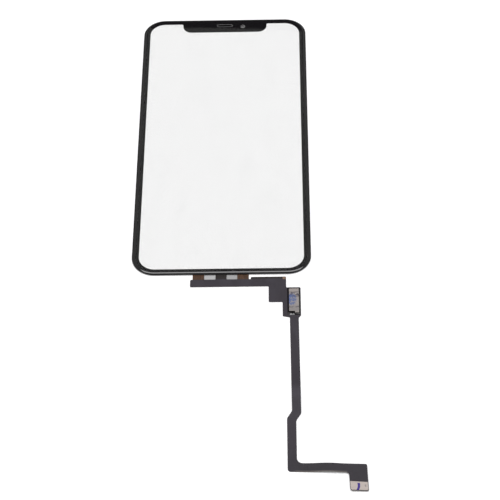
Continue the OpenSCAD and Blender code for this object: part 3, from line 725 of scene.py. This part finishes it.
dress(cover_film, "flex_cover", "flex_back_cover")


# Stiffeners: stamped stainless sheet, one under the chips and one over the board connector. They
# are bonded to the film with heat. The one over the connector has an inspector's violet pen stroke
# and a stain at its right end.

# Fine lines left by rolling, shared by both stiffeners
rolled_grain = grain_group("rolled_grain", 3000.0, 0.002, shrink=(0.06, 1, 1))

STEEL_TONES = ((0.40, 0.355, 0.325, 1), (0.50, 0.445, 0.405, 1))
STEEL_ROUGHNESS = (0.42, 0.55)
STEEL_METALLIC = 0.6


def steel(name):
    """Rolled stainless sheet: the material, its tree, its shader and its colour."""
    made, tree, shader = new_material(name)
    grain = use(tree, rolled_grain)
    colour = blend(tree, grain["Tone"], *STEEL_TONES)
    fill(tree, shader, {
        "Base Color": colour,
        "Normal": grain["Normal"],
        "Roughness": spread(tree, grain["Tone"], *STEEL_ROUGHNESS, reach=0.3),
        "Metallic": STEEL_METALLIC,
    })
    return made, tree, shader, colour


def oval(tree, x, y, middle, half):
    """0 at the middle of an oval with these half sizes, 1 on its edge and more outside it."""
    off_x = calc(tree, "DIVIDE", minus(tree, x, middle[0]), half[0])
    off_y = calc(tree, "DIVIDE", minus(tree, y, middle[1]), half[1])
    return square_sum(tree, off_x, off_y)


dress(steel("rolled_steel")[0], "land_stiffener")

PEN_TOP = (47.86 * MM, -164.2 * MM)
PEN_BOTTOM = (47.46 * MM, -167.1 * MM)
# The stroke sets in between these Y
PEN_START = (-164.1 * MM, -164.35 * MM)
# Distance from the stroke's middle where it ends and where it is full, and its raggedness
PEN_EDGE = (0.53 * MM, 0.43 * MM)
PEN_RAGGED = 0.1 * MM
PEN_BOW = 0.26 * MM
PEN_COLOUR = (0.022, 0.003, 0.2, 1)
PEN_COVER = 0.98
STAIN = (50.2 * MM, -165.4 * MM)
STAIN_HALF = (0.3 * MM, 0.6 * MM)
STAIN_EDGE = (1.3, 0.2)
# Range of the noise and the strengths at its ends
STAIN_CLOUDS = (0.35, 0.6, 0.3, 0.8)
STAIN_COLOUR = (0.13, 0.12, 0.13, 1)

marked_steel, tree, shader, colour = steel("marked_steel")
x, y = place(tree)[:2]
down = calc(tree, "DIVIDE", minus(tree, y, PEN_TOP[1]), PEN_BOTTOM[1] - PEN_TOP[1])
lean = calc(tree, "MULTIPLY_ADD", down, PEN_BOTTOM[0] - PEN_TOP[0], PEN_TOP[0])
bow = times(tree, calc(tree, "SINE", times(tree, down, math.pi)), PEN_BOW)
off = calc(tree, "ABSOLUTE", minus(tree, x, calc(tree, "ADD", lean, bow)))
ragged = calc(tree, "MULTIPLY_ADD", noise_at(tree, 6000), PEN_RAGGED, off)
stroke = times(tree, fade(tree, y, *PEN_START), fade(tree, ragged, *PEN_EDGE))
in_stain = fade(tree, oval(tree, x, y, STAIN, STAIN_HALF), *STAIN_EDGE)
stain = times(tree, in_stain, fade(tree, noise_at(tree, 2500), *STAIN_CLOUDS))
dirty = blend(tree, stain, colour, STAIN_COLOUR)
fill(tree, shader, {
    "Base Color": blend(tree, times(tree, stroke, PEN_COVER), dirty, PEN_COLOUR),
    "Metallic": calc(tree, "MULTIPLY_ADD", stroke, -STEEL_METALLIC, STEEL_METALLIC),
})
dress(marked_steel, "pad_stiffener")


# Chips: a touch controller and a memory on solder balls, and ceramic capacitors with tinned ends,
# all soldered to the land. The tape over them hides all but their form.

RESIN_TONES = ((0.014, 0.014, 0.016, 1), (0.03, 0.03, 0.033, 1))
SOLDER_TONES = ((0.5, 0.5, 0.51, 1), (0.68, 0.68, 0.7, 1))
CAPACITOR_END = 0.25 * MM
END_SOFT = 0.01 * MM
CERAMIC_TONES = ((0.22, 0.14, 0.09, 1), (0.30, 0.20, 0.13, 1))
TINNED = (0.66, 0.66, 0.67, 1)
TINNED_METALLIC = 0.9

dress(grained("chip_resin", RESIN_TONES, 0.55), "touch_controller", "memory_chip")
dress(grained("solder", SOLDER_TONES, 0.3, metallic=0.9), "solder_balls")

ceramic, tree, shader = new_material("capacitor_ceramic")
x, y = place(tree)[:2]
low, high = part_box("capacitors")
to_end = calc(tree, "MINIMUM", minus(tree, x, low.x), minus(tree, high.x, x))
tinned = fade(tree, to_end, CAPACITOR_END + END_SOFT, CAPACITOR_END - END_SOFT)
grain = use(tree, fine_grain, Scale=9000.0, Depth=0.005)
body = blend(tree, grain["Tone"], *CERAMIC_TONES)
fill(tree, shader, {
    "Base Color": blend(tree, tinned, body, TINNED),
    "Metallic": times(tree, tinned, TINNED_METALLIC),
    "Normal": grain["Normal"],
    "Roughness": 0.4,
})
dress(ceramic, "capacitors")


# Tape over the chips: thin black polyester pressed down over them by hand, so it is wrinkled on
# its slopes and crumpled where it comes down to the strip.

TAPE_CUT = 0.14 * MM
TAPE_SKIRT = 0.15 * MM
TAPE_END_RUN = 1.1 * MM
TAPE_T = 0.05 * MM
# No height of the fold and no run up to it is less than this
LEAST = 0.01 * MM
# Crest of the fold below the label as x, y and height in millimetres
FOLD = [
    (25.3, -89.3, 0.1),
    (25.8, -89.32, 0.26),
    (26.8, -89.42, 0.25),
    (27.3, -89.6, 0.05),
    (28.8, -89.9, 0.02),
]
# The tape falls from the label's height to a valley, by this power of the way. The valley lies
# this far before the crest and this high.
VALLEY_BEFORE = 0.28 * MM
VALLEY_HEIGHT = 0.06 * MM
FALL_POWER = 0.6
# The fold is stretched and shiny up to this X
STRETCHED_TO = 27.1 * MM
# Wrinkles on the slopes, in lumps to the millimetre. They fade out towards the foot and leave the
# flat top smooth.
WRINKLE = 0.03 * MM
WRINKLES_PER_MM = 1.7
WRINKLE_FOOT = 0.1 * MM
SMOOTH_TOP = 0.08 * MM
TAPE_TONES = ((0.005, 0.004, 0.005, 1), (0.010, 0.008, 0.008, 1))
TAPE_ROUGHNESS = (0.1, 0.22)
CREASE_DEPTH = 0.02 * MM


def cut_grid(shape, step):
    """Cuts the shape into small cells, so that it can be wrinkled."""
    low = Vector([min(v.co[i] for v in shape.verts) for i in range(3)])
    high = Vector([max(v.co[i] for v in shape.verts) for i in range(3)])
    for axis in (0, 1):
        normal = [0, 0, 0]
        normal[axis] = 1
        count = int((high[axis] - low[axis]) / step)
        for i in range(1, count):
            spot = low.copy()
            spot[axis] += (high[axis] - low[axis]) * i / count
            everything = shape.verts[:] + shape.edges[:] + shape.faces[:]
            bmesh.ops.bisect_plane(shape, geom=everything, plane_co=spot, plane_no=normal)


def tape_finish(name, gloss):
    """Black polyester film with fine creases. The gloss is 0.5 for a polished one."""
    made, tree, shader = new_material(name)
    creases = noise_at(tree, 1300, detail=6.0, roughness=0.7)
    handled = use(tree, wipe_marks, Scale=400.0, Amount=1.0)["Mask"]
    fill(tree, shader, {
        "Base Color": blend(tree, handled, *TAPE_TONES),
        "Roughness": spread(tree, creases, *TAPE_ROUGHNESS),
        "Normal": bumps(tree, creases, CREASE_DEPTH),
        "Specular IOR Level": gloss,
    })
    return made


def along_fold(x):
    """Y and height of the fold's crest at this x."""
    for (x0, y0, h0), (x1, y1, h1) in zip(FOLD, FOLD[1:]):
        part = min(max((x / MM - x0) / (x1 - x0), 0), 1)
        if x / MM <= x1 or (x1, y1, h1) == FOLD[-1]:
            return (y0 + (y1 - y0) * part) * MM, (h0 + (h1 - h0) * part) * MM


def folded_height(point, low, end_y, full):
    """Height of the tape's top at this point of its crumpled end."""
    crest_y, crest = along_fold(point.x)
    valley_y = crest_y + VALLEY_BEFORE
    if point.y > valley_y:
        fall = (end_y - point.y) / (end_y - valley_y)
        height = VALLEY_HEIGHT + (full - VALLEY_HEIGHT) * (1 - fall ** FALL_POWER)
    elif point.y > crest_y:
        height = crest + (VALLEY_HEIGHT - crest) * (point.y - crest_y) / VALLEY_BEFORE
    else:
        height = crest * (point.y - low.y) / max(crest_y - low.y, LEAST)
    return max(height, LEAST)


shape, tape = merged_copy("chip_tape", "wrinkled_tape")
cut_grid(shape, TAPE_CUT)
low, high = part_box("chip_tape")
end_y = low.y + TAPE_SKIRT + TAPE_END_RUN
full = high.z - low.z
for v in shape.verts:
    height = v.co.z - low.z
    if v.co.y < end_y:
        plain_slope = max(full * (1 - (end_y - v.co.y) / TAPE_END_RUN), TAPE_T)
        height *= folded_height(v.co, low, end_y, full) / plain_slope
    elif height < full - SMOOTH_TOP:
        lump = noise.noise(Vector((v.co.x, v.co.y, 0)) / MM * WRINKLES_PER_MM)
        height += max(lump, 0) * WRINKLE * min(height / WRINKLE_FOOT, 1)
    v.co.z = min(low.z + max(height, 0), high.z)
smooth_round(shape)
for face in shape.faces:
    middle = face.calc_center_median()
    before_valley = middle.y < along_fold(middle.x)[0] + VALLEY_BEFORE
    face.material_index = 1 if middle.x < STRETCHED_TO and before_valley else 0
finishes = [tape_finish("black_tape", 0.15), tape_finish("stretched_tape", 0.8)]
finish_copy(shape, tape, "chip_tape", "black_tape", *finishes)


# Label on the tape: a pale matt film label, printed by machine and stuck on by hand. Its factory
# marks and its blue stamp are worn to specks and a smudge. Its lower right corner is pressed down
# over the end of the tape.

LABEL_CURL = 0.03 * MM
LABEL_CUT = 0.2 * MM
LABEL_LUMPS_PER_MM = 0.8
# The pressed corner starts at this X on the label's lower side, whose normals point down the
# strip at least this much, and goes out and down in these steps
CORNER_LEFT = 27.3 * MM
LOWER_SIDE = -0.9
CORNER_STEPS = [
    (0.12 * MM, 0.02 * MM),
    (0.13 * MM, 0.07 * MM),
    (0.14 * MM, 0.1 * MM),
    (0.13 * MM, 0.08 * MM),
]
PAPER_TONES = ((0.25, 0.225, 0.21, 1), (0.33, 0.30, 0.28, 1))
FIBRE_DEPTH = 0.01 * MM
SOILED_COLOUR = (0.22, 0.205, 0.20, 1)
# The dirt grows from the first to the second of these Y, and ends just above the pressed corner
SOILED = (-84.5 * MM, -87.5 * MM)
CLEAN_CORNER = (-88.8 * MM, -88.4 * MM)
# Range of the noise and the strengths at its ends
SOIL_CLOUDS = (0.3, 0.6, 0.5, 1.0)
# Low and high end of the worn print, and how strongly it shows
DARK_ROWS = (-81.9 * MM, -79.3 * MM)
DARK_SHARE = 0.9
GREY_ROW = (-87.0 * MM, -86.1 * MM)
GREY_SHARE = 0.6
ROW_SOFT = 0.15 * MM
MARK_EDGE = (0.43, 0.49)
PRINT_COLOUR = (0.05, 0.042, 0.06, 1)
STAMP = (26.2 * MM, -83.1 * MM)
STAMP_HALF = (1.8 * MM, 2.8 * MM)
STAMP_EDGE = (1.3, 0.5)
STAMP_BLOTCHES = (0.43, 0.51, 0.1, 0.95)
STAMP_COLOUR = (0.055, 0.10, 0.26, 1)

label_film, tree, shader = new_material("label_film")
x, y = place(tree)[:2]
fibres = noise_at(tree, 3500, detail=5.0)
handled = fade(tree, noise_at(tree, 900), *SOIL_CLOUDS)
soiled = times(tree, fade(tree, y, *SOILED), fade(tree, y, *CLEAN_CORNER), handled)
paper = blend(tree, soiled, blend(tree, fibres, *PAPER_TONES), SOILED_COLOUR)
marks = noise_at(tree, 1700, detail=2.5, stretch=(1.7, 1, 1), roughness=0.6)
dark = times(tree, between(tree, y, *DARK_ROWS, ROW_SOFT), DARK_SHARE)
thin = times(tree, between(tree, y, *GREY_ROW, ROW_SOFT), GREY_SHARE)
printed = times(tree, fade(tree, marks, *MARK_EDGE), calc(tree, "MAXIMUM", dark, thin))
paper = blend(tree, printed, paper, PRINT_COLOUR)
blotches = noise_at(tree, 1800, detail=4.0, roughness=0.7)
in_stamp = fade(tree, oval(tree, x, y, STAMP, STAMP_HALF), *STAMP_EDGE)
stamp = times(tree, in_stamp, fade(tree, blotches, *STAMP_BLOTCHES))
fill(tree, shader, {
    "Base Color": blend(tree, stamp, paper, STAMP_COLOUR),
    "Roughness": 0.6,
    "Normal": bumps(tree, fibres, FIBRE_DEPTH),
})

shape, label = merged_copy("chip_label", "curled_label")
cut_grid(shape, LABEL_CUT)
low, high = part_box("chip_label")
for v in shape.verts:
    if v.co.z > (low.z + high.z) / 2:
        lump = noise.noise(Vector((v.co.x, v.co.y, 2)) / MM * LABEL_LUMPS_PER_MM)
        v.co.z += abs(lump) * LABEL_CURL
shape.normal_update()
lower_side = [face for face in shape.faces if face.normal.y < LOWER_SIDE]
hem = [face for face in lower_side if face.calc_center_median().x > CORNER_LEFT]
for out, down in CORNER_STEPS:
    grown = bmesh.ops.extrude_face_region(shape, geom=hem)["geom"]
    bmesh.ops.delete(shape, geom=hem, context="FACES")
    hem = [part for part in grown if isinstance(part, bmesh.types.BMFace)]
    corners = [part for part in grown if isinstance(part, bmesh.types.BMVert)]
    bmesh.ops.translate(shape, verts=corners, vec=(0, -out, -down))
smooth_round(shape)
finish_copy(shape, label, "chip_label", "label_film", label_film)


# Board connector: a black moulded plug with two rows of gold plated contacts and tinned anchor
# straps, soldered to the film under the stiffener.

PLUG_TONES = ((0.012, 0.012, 0.012, 1), (0.024, 0.024, 0.025, 1))
GOLD_TONES = ((0.78, 0.55, 0.22, 1), (0.92, 0.70, 0.33, 1))
TIN_TONES = ((0.58, 0.57, 0.55, 1), (0.75, 0.74, 0.72, 1))

gold_plate = grained("gold_plate", GOLD_TONES, 0.25, scale=9000, depth=0.003, metallic=1.0)
tin_plate = grained("tin_plate", TIN_TONES, 0.35, scale=7000, depth=0.004, metallic=1.0)
dress(grained("connector_plastic", PLUG_TONES, 0.45), "connector_housing")
dress(gold_plate, "connector_contacts")
dress(tin_plate, "connector_anchors")
